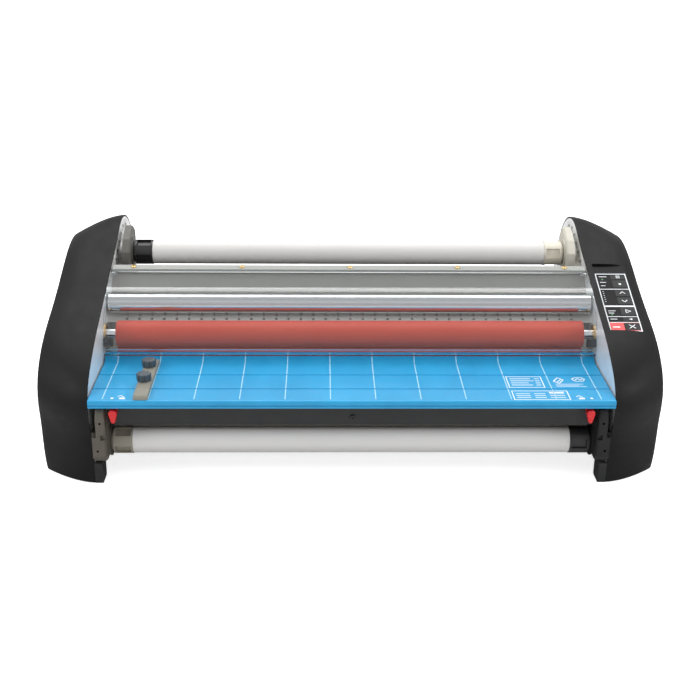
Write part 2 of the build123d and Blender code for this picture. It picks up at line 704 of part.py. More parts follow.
# ---------------------------------------------------------------- control panel and keys
with BuildPart() as control_panel:
    with BuildSketch(PANEL_PLANE):
        Rectangle(PANEL_WIDTH, PANEL_LENGTH)
    extrude(amount=-PANEL_DEPTH)
    with BuildSketch(PANEL_PLANE):
        for name, along, length in KEYS:
            with Locations((KEY_X, along)):
                RectangleRounded(KEY_WIDTH + 2 * KEY_GAP, length + 2 * KEY_GAP, 1.5)
    extrude(amount=-KEY_POCKET, mode=Mode.SUBTRACT)
save(control_panel.part, "control_panel")

for name, along, length in KEYS:
    with BuildPart() as key:
        with BuildSketch(PANEL_PLANE.offset(KEY_PROUD)):
            with Locations((KEY_X, along)):
                RectangleRounded(KEY_WIDTH, length, 1.4)
        extrude(amount=-KEY_T)
    save(key.part, name)

# ---------------------------------------------------------------- safety shield
# The clear shield leaves its clamp bar nearly level, rolls down in front of the rollers and
# ends in a narrow finger guard turned inwards above the ramp of the tray.
SHIELD_PATH = ((14, 249.8), (-60, 238.5), (-100, 200), (-111, 165), (-111, 155), (-96, 157.5))
SHIELD_BENDS = (34, 34, 18, 2)
SHIELD_TILT = atan2(249.8 - 238.5, 14 + 60)
BAR_DEPTH = 15.0
BAR_SHIFT = -3.5          # centre of the bar down the sheet from the pivot line
SHIELD_SCREWS = [(x, BAR_SHIFT) for x in (-336, -168, 0, 168, 336)]
SHIELD_SCREW_HEAD_D = 8.0
SHIELD_SCREW_HEAD = 2.2
BAR_T = 4.0
BAR_HALF = 368.0
PIVOT_BLOCK = 7.0
PIVOT_BLOCK_DROP = 5.0
SHIELD_SCREW_D = 3.0
# Plane of the sheet's lower face at the clamp bar, its local Y running up the sheet.
SHEET_Z = SHIELD_PATH[0][1] - (SHIELD_PATH[0][0] - SHIELD_PIVOT[0]) * tan(SHIELD_TILT)
SHEET_FACE = Plane(
    origin=(0, SHIELD_PIVOT[0], SHEET_Z),
    x_dir=(1, 0, 0),
    z_dir=(0, -sin(SHIELD_TILT), cos(SHIELD_TILT)),
)

with BuildPart() as safety_shield:
    bent_sheet(-SHIELD_HALF, SHIELD_HALF, SHIELD_PATH, SHIELD_BENDS, SHIELD_T)
    with BuildSketch(SHEET_FACE):
        for side in (-1, 1):
            with Locations((side * (BAR_HALF + 1), 2)):
                Rectangle(2 * PIVOT_BLOCK + 2.5, 2 * BAR_DEPTH)
        with Locations(*SHIELD_SCREWS):
            Circle(SHIELD_SCREW_D / 2)
    extrude(amount=10, both=True, mode=Mode.SUBTRACT)
save(safety_shield.part, "safety_shield")

with BuildPart() as shield_bar:
    with BuildSketch(SHEET_FACE.offset(SHIELD_T)):
        with Locations((0, BAR_SHIFT)):
            Rectangle(2 * BAR_HALF, BAR_DEPTH)
        with Locations(*SHIELD_SCREWS):
            Circle(SHIELD_SCREW_D / 2, mode=Mode.SUBTRACT)
    extrude(amount=BAR_T)
    with BuildSketch(SHEET_FACE.offset(-PIVOT_BLOCK_DROP)):
        for side in (-1, 1):
            with Locations((side * (BAR_HALF - PIVOT_BLOCK / 2), BAR_SHIFT)):
                Rectangle(PIVOT_BLOCK, BAR_DEPTH)
    extrude(amount=PIVOT_BLOCK_DROP + SHIELD_T)
    for side in (-1, 1):
        rod(side * BAR_HALF, side * (PLATE_OUT - 0.5), SHIELD_PIVOT, PIVOT_D)
save(shield_bar.part, "shield_bar")

with BuildPart() as shield_screws:
    with BuildSketch(SHEET_FACE.offset(SHIELD_T + BAR_T)):
        with Locations(*SHIELD_SCREWS):
            Circle(SHIELD_SCREW_HEAD_D / 2)
    extrude(amount=SHIELD_SCREW_HEAD)
    fillet(shield_screws.edges().filter_by(GeomType.CIRCLE).group_by(Axis.Z)[-1], 0.8)
    with BuildSketch(SHEET_FACE.offset(SHIELD_T + BAR_T)):
        with Locations(*SHIELD_SCREWS):
            Circle(SHIELD_SCREW_D / 2)
    extrude(amount=-SHIELD_T - BAR_T)
    with BuildSketch(SHEET_FACE.offset(SHIELD_T + BAR_T + SHIELD_SCREW_HEAD)):
        with Locations(*SHIELD_SCREWS):
            Rectangle(4, 0.9)
            Rectangle(0.9, 4)
    extrude(amount=-1.2, mode=Mode.SUBTRACT)
save(shield_screws.part, "shield_screws")

# Magnet catches beside the roller ends, which hold the closed shield down.
CATCH_WIDTH = 14.0
CATCH_Y = (-100.0, -93.4)
CATCH_Z = (163.0, 175.5)
CATCH_RIM = 3.0
CATCH_PAD_T = 0.8

with BuildPart() as shield_catches:
    for side in (-1, 1):
        block(sorted((side * (PLATE_IN - CATCH_WIDTH), side * PLATE_IN)), CATCH_Y, CATCH_Z)
    fillet(shield_catches.edges().filter_by(Axis.X), 0.8)
    for side in (-1, 1):
        pad = sorted((side * (PLATE_IN - CATCH_WIDTH + CATCH_RIM), side * (PLATE_IN - CATCH_RIM)))
        block(pad, (CATCH_Y[0] - CATCH_PAD_T, CATCH_Y[0]), (CATCH_Z[0] + CATCH_RIM, CATCH_Z[1] - CATCH_RIM))
save(shield_catches.part, "shield_catches")

# ---------------------------------------------------------------- feed tray
TRAY_T = 4.0
NOSE_BOTTOM = 129.0
RAMP_FOOT = -113.0
RAMP_TOP = (-94.0, 151.5)
NOSE_BEAD_Z = 134.5
GROOVE_WIDTH = 2.4
GROOVE_DEPTH = 1.3

with BuildPart() as feed_tray:
    section_bar(-TRAY_HALF, TRAY_HALF, (
        (TRAY_FRONT, NOSE_BOTTOM),
        (TRAY_FRONT, TRAY_TOP),
        (RAMP_FOOT, TRAY_TOP),
        RAMP_TOP,
        (RAMP_TOP[0] - 1, RAMP_TOP[1] - 2.5),
        (RAMP_FOOT + 1, TRAY_TOP - TRAY_T),
        (TRAY_FRONT + 17, TRAY_TOP - TRAY_T),
        (TRAY_FRONT + 12, NOSE_BOTTOM),
    ))
    fillet(feed_tray.edges().filter_by(Axis.X).group_by(Axis.Y)[0], 4)
    block((-TRAY_HALF, TRAY_HALF), (TRAY_FRONT, TRAY_FRONT + 1.2), (NOSE_BEAD_Z - 1, NOSE_BEAD_Z + 1),
          mode=Mode.SUBTRACT)
    for y in GROOVES:
        block((-TRAY_HALF, TRAY_HALF), (y - GROOVE_WIDTH / 2, y + GROOVE_WIDTH / 2),
              (TRAY_TOP - GROOVE_DEPTH, TRAY_TOP), mode=Mode.SUBTRACT)
save(feed_tray.part, "feed_tray")

# ---------------------------------------------------------------- edge guide
GUIDE_X = (-306.0, -286.0)
GUIDE_Y = (-247.0, -115.0)
GUIDE_TOP = 149.0
KNOB_X = -298.0
KNOBS_Y = (-192.0, -140.0)
KNOB_D = 21.0
KNOB_HEIGHT = 10.5
KNOB_FLUTES = 9
STUD_D = 5.0
STUD_LENGTH = 5.0

with BuildPart() as edge_guide:
    block(GUIDE_X, GUIDE_Y, (TRAY_TOP, GUIDE_TOP))
    fillet(edge_guide.edges().filter_by(Axis.X).group_by(Axis.Y)[0].sort_by(Axis.Z)[-1], 6)
    fillet(edge_guide.edges().filter_by(Axis.Y), 0.8)
    for y in GROOVES:
        block(GUIDE_X, (y - GROOVE_WIDTH / 2 + 0.3, y + GROOVE_WIDTH / 2 - 0.3),
              (TRAY_TOP - GROOVE_DEPTH + 0.3, TRAY_TOP))
    with BuildSketch(Plane.XY.offset(GUIDE_TOP)):
        with Locations(*[(KNOB_X, y) for y in KNOBS_Y]):
            Circle(STUD_D / 2 + RUNNING_GAP)
    extrude(amount=-STUD_LENGTH - 0.5, mode=Mode.SUBTRACT)
save(edge_guide.part, "edge_guide")

for name, y in (("guide_knob_front", KNOBS_Y[0]), ("guide_knob_rear", KNOBS_Y[1])):
    with BuildPart() as knob:
        with BuildSketch(Plane.XY.offset(GUIDE_TOP)):
            with Locations((KNOB_X, y)):
                Circle(KNOB_D / 2)
                with PolarLocations(KNOB_D / 2 + 0.8, KNOB_FLUTES):
                    Circle(2.4, mode=Mode.SUBTRACT)
        extrude(amount=KNOB_HEIGHT)
        chamfer(knob.faces().sort_by(Axis.Z)[-1].edges(), 0.8)
        with BuildSketch(Plane.XY.offset(GUIDE_TOP)):
            with Locations((KNOB_X, y)):
                Circle(STUD_D / 2)
        extrude(amount=-STUD_LENGTH)
    save(knob.part, name)

# ---------------------------------------------------------------- tray latch levers
LATCH_TAIL = 11.5
LATCH_FRONT = -247.5
LATCH_PADDLE_T = 10.0
for name, x in (("tray_latch_left", -LATCH_X), ("tray_latch_right", LATCH_X)):
    with BuildPart() as latch:
        with BuildSketch(Plane.XZ.offset(-LATCH_FRONT)):
            with Locations((x, LATCH_Z)):
                Circle(6)
            with Locations((x, LATCH_Z - LATCH_TAIL)):
                Circle(3)
            make_hull()
        extrude(amount=-LATCH_PADDLE_T)
        fillet(latch.faces().sort_by(Axis.Y)[0].edges(), 2.5)
        with BuildSketch(Plane.XZ.offset(1 - FRONT_WEB_Y)):
            with Locations((x, LATCH_Z)):
                Circle(LATCH_PIN_D)
        extrude(until=Until.NEXT)
        with BuildSketch(Plane.XZ.offset(1 - FRONT_WEB_Y)):
            with Locations((x, LATCH_Z)):
                Circle(LATCH_PIN_D / 2)
        extrude(amount=-4)
    save(latch.part, name)

# ---------------------------------------------------------------- cooling fans
FAN_FLOOR = PAN_Z + PAN_T
HUB_D = 26.0
AXLE_D = 3.0

with BuildPart() as fan_frames:
    for x in (-FAN_X, FAN_X):
        with BuildSketch(Plane.XY.offset(FAN_FLOOR)):
            with Locations((x, FAN_Y)):
                RectangleRounded(FAN_SIZE, FAN_SIZE, 4)
                Circle(FAN_BORE / 2, mode=Mode.SUBTRACT)
        extrude(amount=FAN_T)
        with BuildSketch(Plane.XY.offset(FAN_FLOOR)):
            with Locations((x, FAN_Y)):
                Rectangle(FAN_SIZE - 4, 4, rotation=45)
                Rectangle(FAN_SIZE - 4, 4, rotation=135)
                Circle(HUB_D / 2)
                Circle(AXLE_D / 2 + RUNNING_GAP, mode=Mode.SUBTRACT)
        extrude(amount=3)
save(fan_frames.part, "fan_frames")

for name, x in (("fan_rotor_left", -FAN_X), ("fan_rotor_right", FAN_X)):
    with BuildPart() as rotor:
        with Locations((x, FAN_Y, FAN_FLOOR + 11)):
            Cylinder(HUB_D / 2, 14)
            with PolarLocations(HUB_D / 2 + 10.5, 7):
                Box(24, 15, 1.6, rotation=(38, 0, 0))
        with Locations((x, FAN_Y, FAN_FLOOR + 2.5)):
            Cylinder(AXLE_D / 2, 4)
    save(rotor.part, name)

# ---------------------------------------------------------------- mains inlet and switch
MODULE_Y = (212.0, 236.5)
INLET_X = (-316.0, -289.0)
INLET_Z = (64.0, 84.0)
ROCKER_X = (-277.0, -263.0)
ROCKER_Z = 74.0
ROCKER_Y = 233.0
ROCKER_HALF = 10.5
ROCKER_PIN_D = 2.4

with BuildPart() as power_module:
    block(MODULE_X, MODULE_Y, MODULE_Z)
    fillet(power_module.edges().filter_by(Axis.Y), 2)
    block(INLET_X, (MODULE_Y[1] - 15, MODULE_Y[1]), INLET_Z, mode=Mode.SUBTRACT)
    for x, z in ((-308.5, 72), (-302.5, 78), (-296.5, 72)):
        block((x - 1, x + 1), (MODULE_Y[1] - 15, MODULE_Y[1] - 4), (z - 2, z + 2))
    block((ROCKER_X[0] - 0.2, ROCKER_X[1] + 0.2), (225, MODULE_Y[1]),
          (ROCKER_Z - ROCKER_HALF - 1.7, ROCKER_Z + ROCKER_HALF + 1.7), mode=Mode.SUBTRACT)
    rod(ROCKER_X[0] - 2, ROCKER_X[1] + 2, (ROCKER_Y, ROCKER_Z), ROCKER_PIN_D + 2 * RUNNING_GAP,
        mode=Mode.SUBTRACT)
save(power_module.part, "power_module")

with BuildPart() as power_rocker:
    section_bar(*ROCKER_X, (
        (ROCKER_Y - 3, ROCKER_Z - 8),
        (ROCKER_Y - 3, ROCKER_Z + 8),
        (ROCKER_Y + 5.5, ROCKER_Z + ROCKER_HALF),
        (ROCKER_Y + 3, ROCKER_Z),
        (ROCKER_Y + 5.5, ROCKER_Z - ROCKER_HALF),
    ))
    rod(ROCKER_X[0] - 1.8, ROCKER_X[1] + 1.8, (ROCKER_Y, ROCKER_Z), ROCKER_PIN_D)
save(power_rocker.part, "power_rocker")
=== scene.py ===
"""Looks of a 27 inch roll laminator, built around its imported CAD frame.

Metres in Blender; the sizes below are in millimetres in the same frame and pass through MM.
"""

import json
import math

import bpy
from mathutils import Matrix, Vector


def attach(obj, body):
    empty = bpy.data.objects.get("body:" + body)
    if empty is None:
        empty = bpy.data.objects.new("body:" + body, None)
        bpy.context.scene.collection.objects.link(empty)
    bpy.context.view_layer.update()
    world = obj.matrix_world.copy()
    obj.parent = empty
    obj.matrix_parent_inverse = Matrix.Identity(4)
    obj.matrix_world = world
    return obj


MM = 0.001

# ---------------------------------------------------------------- sizes shared with the CAD
PLATE_IN = 371.0
TRAY_TOP = 142.0
TRAY_FRONT = -250.0
TRAY_RAMP = -113.0
RAMP_RUN = 19.0
RAMP_RISE = 9.5
GROOVES = (-207.4, -157.0)
RULING_PITCH = 63.5
SLOPE_START = (-160.0, 195.0)
SLOPE_END = (75.0, 282.0)
PANEL_CENTRE = (406.5, -59.0)
PANEL_SUNK = 4.0
KEY_X = 10.5
KEY_PROUD = 0.4

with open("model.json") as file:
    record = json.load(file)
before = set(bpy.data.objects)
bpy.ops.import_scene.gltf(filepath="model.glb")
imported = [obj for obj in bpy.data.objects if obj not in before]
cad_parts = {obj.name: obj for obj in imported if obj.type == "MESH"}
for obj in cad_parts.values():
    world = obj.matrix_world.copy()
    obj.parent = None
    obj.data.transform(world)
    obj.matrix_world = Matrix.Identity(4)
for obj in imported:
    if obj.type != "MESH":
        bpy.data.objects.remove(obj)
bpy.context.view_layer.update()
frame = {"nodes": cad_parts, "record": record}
nodes = frame["nodes"]


# ---------------------------------------------------------------- shader helpers
class Shader:
    """A node material with short names for the few nodes used here."""

    def __init__(self, name):
        self.material = bpy.data.materials.new(name)
        self.material.use_nodes = True
        self.tree = self.material.node_tree
        self.bsdf = self.tree.nodes["Principled BSDF"]
        self.output = self.tree.nodes["Material Output"]
        self.place = self.new("ShaderNodeTexCoord").outputs["Object"]

    def new(self, kind, **values):
        node = self.tree.nodes.new(kind)
        for key, value in values.items():
            setattr(node, key, value)
        return node

    def link(self, source, target):
        self.tree.links.new(source, target)

    def put(self, name, value):
        """Sets an input of the surface from a number, a colour or another node's output."""
        target = self.bsdf.inputs[name]
        if isinstance(value, bpy.types.NodeSocket):
            self.link(value, target)
        elif isinstance(value, tuple) and len(value) == 3:
            target.default_value = (*value, 1.0)
        else:
            target.default_value = value

    def stretched(self, scale):
        """Object coordinates scaled differently along each axis."""
        node = self.new("ShaderNodeMapping")
        node.inputs["Scale"].default_value = scale
        self.link(self.place, node.inputs["Vector"])
        return node.outputs["Vector"]

    def noise(self, size_mm, detail=4.0, rough=0.55, vector=None):
        """Noise with features of about the given size."""
        node = self.new("ShaderNodeTexNoise")
        node.inputs["Scale"].default_value = 1.0 / (size_mm * MM)
        node.inputs["Detail"].default_value = detail
        node.inputs["Roughness"].default_value = rough
        self.link(vector or self.place, node.inputs["Vector"])
        return node.outputs["Fac"]

    def cells(self, size_mm, feature="F1"):
        node = self.new("ShaderNodeTexVoronoi", feature=feature)
        node.inputs["Scale"].default_value = 1.0 / (size_mm * MM)
        self.link(self.place, node.inputs["Vector"])
        return node.outputs

    def spread(self, value, low_in, high_in, low_out, high_out):
        node = self.new("ShaderNodeMapRange")
        for name, number in zip(("From Min", "From Max", "To Min", "To Max"),
                                (low_in, high_in, low_out, high_out)):
            node.inputs[name].default_value = number
        self.link(value, node.inputs["Value"])
        return node.outputs["Result"]

    def blend(self, share, first, second):
        """Mix of two colours, each a tuple or an output."""
        node = self.new("ShaderNodeMix", data_type="RGBA")
        colour_inputs = [s for s in node.inputs if s.type == "RGBA"]
        for target, value in zip(colour_inputs, (first, second)):
            if isinstance(value, bpy.types.NodeSocket):
                self.link(value, target)
            else:
                target.default_value = (*value, 1.0)
        if isinstance(share, bpy.types.NodeSocket):
            self.link(share, node.inputs["Factor"])
        else:
            node.inputs["Factor"].default_value = share
        return next(s for s in node.outputs if s.type == "RGBA")

    def relief(self, *layers):
        """Bump from (height output, strength, depth in mm) layers, one over another."""
        normal = None
        for height, strength, depth in layers:
            node = self.new("ShaderNodeBump")
            node.inputs["Strength"].default_value = strength
            node.inputs["Distance"].default_value = depth * MM
            self.link(height, node.inputs["Height"])
            if normal is not None:
                self.link(normal, node.inputs["Normal"])
            normal = node.outputs["Normal"]
        self.link(normal, self.bsdf.inputs["Normal"])


def tinted(colour, factor):
    """The colour made darker or lighter by a factor."""
    return tuple(min(1.0, c * factor) for c in colour)


def plastic(name, colour, rough, grain_mm=0.6, grain_depth=0.02, shine=0.5):
    """Moulded plastic: fine grain, faint handling marks and a little colour drift."""
    s = Shader(name)
    drift = s.noise(60, 3)
    share = s.spread(drift, 0.35, 0.65, 0, 1)
    s.put("Base Color", s.blend(share, tinted(colour, 0.92), tinted(colour, 1.08)))
    smears = s.noise(25, 5, 0.65, s.stretched((1, 0.35, 1.6)))
    s.put("Roughness", s.spread(smears, 0.3, 0.7, rough - 0.05, rough + 0.07))
    s.put("Specular IOR Level", shine)
    s.relief((s.noise(grain_mm, 2), 0.5, grain_depth), (s.noise(9, 3), 0.15, 0.03))
    return s.material


def painted(name, colour, rough, peel_mm=1.6):
    """Powder coat over sheet steel, with orange peel."""
    s = Shader(name)
    s.put("Base Color", s.blend(s.noise(45, 4), tinted(colour, 0.88), tinted(colour, 1.12)))
    s.put("Roughness", s.spread(s.noise(12, 4), 0.3, 0.7, rough - 0.06, rough + 0.06))
    s.relief((s.noise(peel_mm, 2), 0.35, 0.03))
    return s.material


def brushed(name, colour, rough, along, metal=1.0, line=0.3):
    """Metal with a directional grain; along is X for lengthwise lines, R for turned rings."""
    s = Shader(name)
    scale = (0.02, 1, 1) if along == "X" else (1, 0.03, 0.03)
    grain = s.noise(line, 3, 0.6, s.stretched(scale))
    s.put("Base Color", s.blend(grain, tinted(colour, 0.93), tinted(colour, 1.05)))
    s.put("Metallic", metal)
    s.put("Roughness", s.spread(grain, 0.3, 0.7, rough - 0.05, rough + 0.06))
    s.relief((grain, 0.12, 0.01))
    return s.material


def zinc_plate():
    """Zinc-plated sheet: faint spangle, brushed lines and dull patches."""
    s = Shader("zinc_plate")
    spangle = s.cells(7)["Color"]
    shade = s.new("ShaderNodeRGBToBW")
    s.link(spangle, shade.inputs["Color"])
    share = s.spread(shade.outputs["Val"], 0, 1, 0, 0.5)
    s.put("Base Color", s.blend(share, (0.82, 0.82, 0.81), (0.92, 0.92, 0.91)))
    s.put("Metallic", 0.35)
    s.put("Roughness", s.spread(s.noise(18, 5), 0.3, 0.7, 0.28, 0.42))
    lines = s.noise(0.5, 2, 0.5, s.stretched((1, 0.05, 1)))
    s.relief((lines, 0.15, 0.01), (s.noise(40, 2), 0.2, 0.15))
    return s.material


def silicone():
    """Red silicone sleeve: matt, slightly dusty, with fine grinding rings."""
    s = Shader("silicone_red")
    dust = s.spread(s.noise(30, 5, 0.6, s.stretched((0.25, 1, 1))), 0.35, 0.75, 0, 0.5)
    s.put("Base Color", s.blend(dust, (0.54, 0.060, 0.032), (0.59, 0.093, 0.056)))
    s.put("Roughness", s.spread(s.noise(10, 4), 0.3, 0.7, 0.50, 0.62))
    s.put("Specular IOR Level", 0.22)
    rings = s.noise(0.9, 2, 0.5, s.stretched((1, 0.05, 0.05)))
    s.relief((rings, 0.12, 0.01), (s.noise(0.7, 2), 0.2, 0.01))
    return s.material


def tray_paint():
    """Satin blue coating, wiped paler along the path the sheets take."""
    s = Shader("tray_blue")
    wipe = s.spread(s.noise(70, 4, 0.6, s.stretched((1, 0.4, 1))), 0.3, 0.7, 0, 1)
    s.put("Base Color", s.blend(wipe, (0.012, 0.285, 0.550), (0.018, 0.345, 0.640)))
    s.put("Roughness", s.spread(s.noise(90, 3), 0.3, 0.7, 0.30, 0.36))
    s.relief((s.noise(6, 2), 0.08, 0.02))
    return s.material


def clear_sheet():
    """Clear polycarbonate: refracts for the eye, lets light through without dark shadows."""
    s = Shader("clear_sheet")
    s.put("Base Color", (0.955, 0.975, 0.985))
    s.put("Roughness", s.spread(s.noise(50, 4), 0.35, 0.7, 0.004, 0.03))
    s.put("IOR", 1.49)
    s.put("Transmission Weight", 1.0)
    s.relief((s.noise(120, 1), 0.02, 0.2))
    clear = s.new("ShaderNodeBsdfTransparent")
    clear.inputs["Color"].default_value = (0.90, 0.93, 0.95, 1)
    rays = s.new("ShaderNodeLightPath")
    either = s.new("ShaderNodeMath", operation="MAXIMUM")
    s.link(rays.outputs["Is Shadow Ray"], either.inputs[0])
    s.link(rays.outputs["Is Diffuse Ray"], either.inputs[1])
    mix = s.new("ShaderNodeMixShader")
    s.link(either.outputs["Value"], mix.inputs["Fac"])
    s.link(s.bsdf.outputs["BSDF"], mix.inputs[1])
    s.link(clear.outputs["BSDF"], mix.inputs[2])
    s.link(mix.outputs["Shader"], s.output.inputs["Surface"])
    return s.material


def quartz():
    """Milky quartz tube of the heaters."""
    s = Shader("heater_quartz")
    s.put("Base Color", (0.85, 0.88, 0.90))
    s.put("Roughness", s.spread(s.noise(8, 3), 0.3, 0.7, 0.08, 0.2))
    s.put("Transmission Weight", 0.8)
    return s.material


def ink(name, colour, rough=0.45):
    """Screen-printed ink, slightly uneven."""
    s = Shader(name)
    s.put("Base Color", s.blend(s.noise(2.5, 3), tinted(colour, 0.9), tinted(colour, 1.05)))
    s.put("Roughness", s.spread(s.noise(1.2, 2), 0.3, 0.7, rough - 0.05, rough + 0.1))
    return s.material


def make_materials():
    return {
        "plate_steel": zinc_plate(),
        "black_steel": painted("black_steel", (0.011, 0.011, 0.012), 0.42),
        "grey_steel": painted("grey_steel", (0.22, 0.21, 0.18), 0.42),
        # Lighter copy of grey_steel for the heat guard: painted light, brightened to offset the
        # shade under the idler and film guard.
        "perforated_steel_brightened_for_shade": painted("perforated_steel_brightened_for_shade", (0.60, 0.59, 0.55), 0.40),
        "cover_plastic": plastic("cover_plastic", (0.0105, 0.0103, 0.0105), 0.50, 0.7, 0.03, 0.14),
        "foot_rubber": plastic("foot_rubber", (0.012, 0.012, 0.012), 0.65),
        "bronze": brushed("bronze", (0.66, 0.44, 0.20), 0.34, "R"),
        "brass": brushed("brass", (0.86, 0.64, 0.30), 0.26, "R"),
        "steel_shaft": brushed("steel_shaft", (0.78, 0.78, 0.79), 0.16, "R"),
        "chrome_roll": brushed("chrome_roll", (0.66, 0.665, 0.67), 0.09, "X"),
        "silicone_red": silicone(),
        "rubber_black": plastic("rubber_black", (0.016, 0.016, 0.017), 0.55, 0.5),
        "gear_nylon": plastic("gear_nylon", (0.72, 0.69, 0.60), 0.42),
        "gear_steel": brushed("gear_steel", (0.42, 0.42, 0.43), 0.32, "R"),
        "motor_paint": painted("motor_paint", (0.025, 0.025, 0.028), 0.35),
        "heater_glass": quartz(),
        "tube_silver": brushed("tube_silver", (0.66, 0.65, 0.63), 0.50, "X", metal=0.0, line=0.8),
        "cap_black": plastic("cap_black", (0.018, 0.018, 0.019), 0.36),
        "cap_beige": plastic("cap_beige", (0.66, 0.62, 0.52), 0.42),
        "cap_stone": plastic("cap_stone", (0.27, 0.25, 0.20), 0.42),
        "bracket_grey": plastic("bracket_grey", (0.105, 0.10, 0.088), 0.5, 1.0, 0.05),
        "bracket_beige": plastic("bracket_beige", (0.52, 0.50, 0.43), 0.5, 1.0, 0.05),
        "bracket_stone": plastic("bracket_stone", (0.090, 0.080, 0.062), 0.5, 1.0, 0.05),
        "bracket_black": plastic("bracket_black", (0.013, 0.013, 0.013), 0.45, 1.0, 0.05, 0.25),
        "panel_black": plastic("panel_black", (0.006, 0.006, 0.007), 0.40, 1.2, 0.01, 0.10),
        "key_black": plastic("key_black", (0.011, 0.011, 0.012), 0.42, 0.8, 0.01, 0.22),
        "clear_sheet": clear_sheet(),
        "bar_grey": brushed("bar_grey", (0.33, 0.34, 0.32), 0.52, "X", metal=0.1),
        "tray_blue": tray_paint(),
        "guide_beige": plastic("guide_beige", (0.235, 0.228, 0.19), 0.45, shine=0.3),
        "knob_slate": plastic("knob_slate", (0.065, 0.085, 0.10), 0.38),
        "latch_red": plastic("latch_red", (0.62, 0.010, 0.014), 0.28),
        "fan_black": plastic("fan_black", (0.013, 0.013, 0.014), 0.45),
        "switch_black": plastic("switch_black", (0.012, 0.012, 0.013), 0.3),
        "ink_white": ink("ink_white", (0.80, 0.84, 0.86)),
        "ink_pale": ink("ink_pale", (0.42, 0.68, 0.84)),
        "ink_grey": ink("ink_grey", (0.05, 0.05, 0.05)),
        "ink_red": ink("ink_red", (0.68, 0.025, 0.03), 0.35),
        "label_white": ink("label_white", (0.76, 0.77, 0.76), 0.5),
        "lamp_green": ink("lamp_green", (0.02, 0.26, 0.06), 0.2),
    }


materials = make_materials()

# ---------------------------------------------------------------- CAD nodes: finish and edges
# Widths of the edge rounding where it isn't the plain one. Thin folded sheets have none.
BEVEL_MM = {
    "side_cover_left": 0.9,
    "side_cover_right": 0.9,
    "feed_tray": 0.25,
    "safety_shield": 0.0,
    "front_panel": 0.0,
    "rear_panel": 0.0,
    "base_pan": 0.0,
    "heat_guard": 0.0,
    "film_guard": 0.0,
    "idler_gear": 0.15,
    "upper_heat_gear": 0.12,
    "lower_heat_gear": 0.12,
    "upper_pull_roller": 0.12,
    "lower_pull_roller": 0.12,
    "motor_pinion": 0.1,
    "upper_heat_sleeve": 0.6,
    "lower_heat_sleeve": 0.6,
    "shield_screws": 0.1,
    "power_rocker": 0.2,
}
PLAIN_BEVEL_MM = 0.35
# Nodes with wide flat faces, whose shading is levelled by face area.
FLAT_FACED = (
    "safety_shield",
    "film_guard",
    "feed_tray",
    "front_panel",
    "rear_panel",
    "base_pan",
    "heat_guard",
)
# Nodes that look different from the rest of their material slot. The heat guard gets a much
# lighter copy of grey_steel: painted light that makes up for the shade it sits in under the idler
# and the film guard.
LOOKS = {"heat_guard": "perforated_steel_brightened_for_shade"}
CREASE_DEGREES = 33.0


def crease_group():
    """Geometry nodes that close the seams of an imported mesh and smooth it up to the crease."""
    group = bpy.data.node_groups.new("seams_and_creases", "GeometryNodeTree")
    group.interface.new_socket("Geometry", in_out="INPUT", socket_type="NodeSocketGeometry")
    group.interface.new_socket("Geometry", in_out="OUTPUT", socket_type="NodeSocketGeometry")
    add, link = group.nodes.new, group.links.new
    start, end = add("NodeGroupInput"), add("NodeGroupOutput")
    weld = add("GeometryNodeMergeByDistance")
    weld.inputs["Distance"].default_value = 0.002 * MM
    faces = add("GeometryNodeSetShadeSmooth")
    faces.domain = "FACE"
    edges = add("GeometryNodeSetShadeSmooth")
    edges.domain = "EDGE"
    angle = add("GeometryNodeInputMeshEdgeAngle")
    smooth = add("FunctionNodeCompare")
    smooth.data_type = "FLOAT"
    smooth.operation = "LESS_THAN"
    smooth.inputs[1].default_value = math.radians(CREASE_DEGREES)
    link(angle.outputs["Unsigned Angle"], smooth.inputs[0])
    link(smooth.outputs["Result"], edges.inputs["Shade Smooth"])
    link(start.outputs[0], weld.inputs["Geometry"])
    link(weld.outputs["Geometry"], faces.inputs["Geometry"])
    link(faces.outputs["Geometry"], edges.inputs["Geometry"])
    link(edges.outputs["Geometry"], end.inputs[0])
    return group


def soften(obj, width_mm):
    """Small rounding on every edge sharper than the crease angle."""
    bevel = obj.modifiers.new("edges", "BEVEL")
    bevel.width = width_mm * MM
    bevel.segments = 2
    bevel.limit_method = "ANGLE"
    bevel.angle_limit = math.radians(CREASE_DEGREES)
    bevel.harden_normals = True


def finish_cad_nodes():
    """Material, seams, edges and shading of every CAD node."""
    group = crease_group()
    slots = {entry["node"]: entry["material_slot"] for entry in frame["record"]["subparts"]}
    for name, obj in nodes.items():
        mesh = obj.data
        normals = mesh.attributes.get("custom_normal")
        if normals is not None:
            mesh.attributes.remove(normals)
        mesh.materials.clear()
        mesh.materials.append(materials[LOOKS.get(name, slots[name])])
        modifier = obj.modifiers.new("seams", "NODES")
        modifier.node_group = group
        width = BEVEL_MM.get(name, PLAIN_BEVEL_MM)
        if width > 0:
            soften(obj, width)
        if name in FLAT_FACED:
            level = obj.modifiers.new("flat_faces", "WEIGHTED_NORMAL")
            level.keep_sharp = True


finish_cad_nodes()


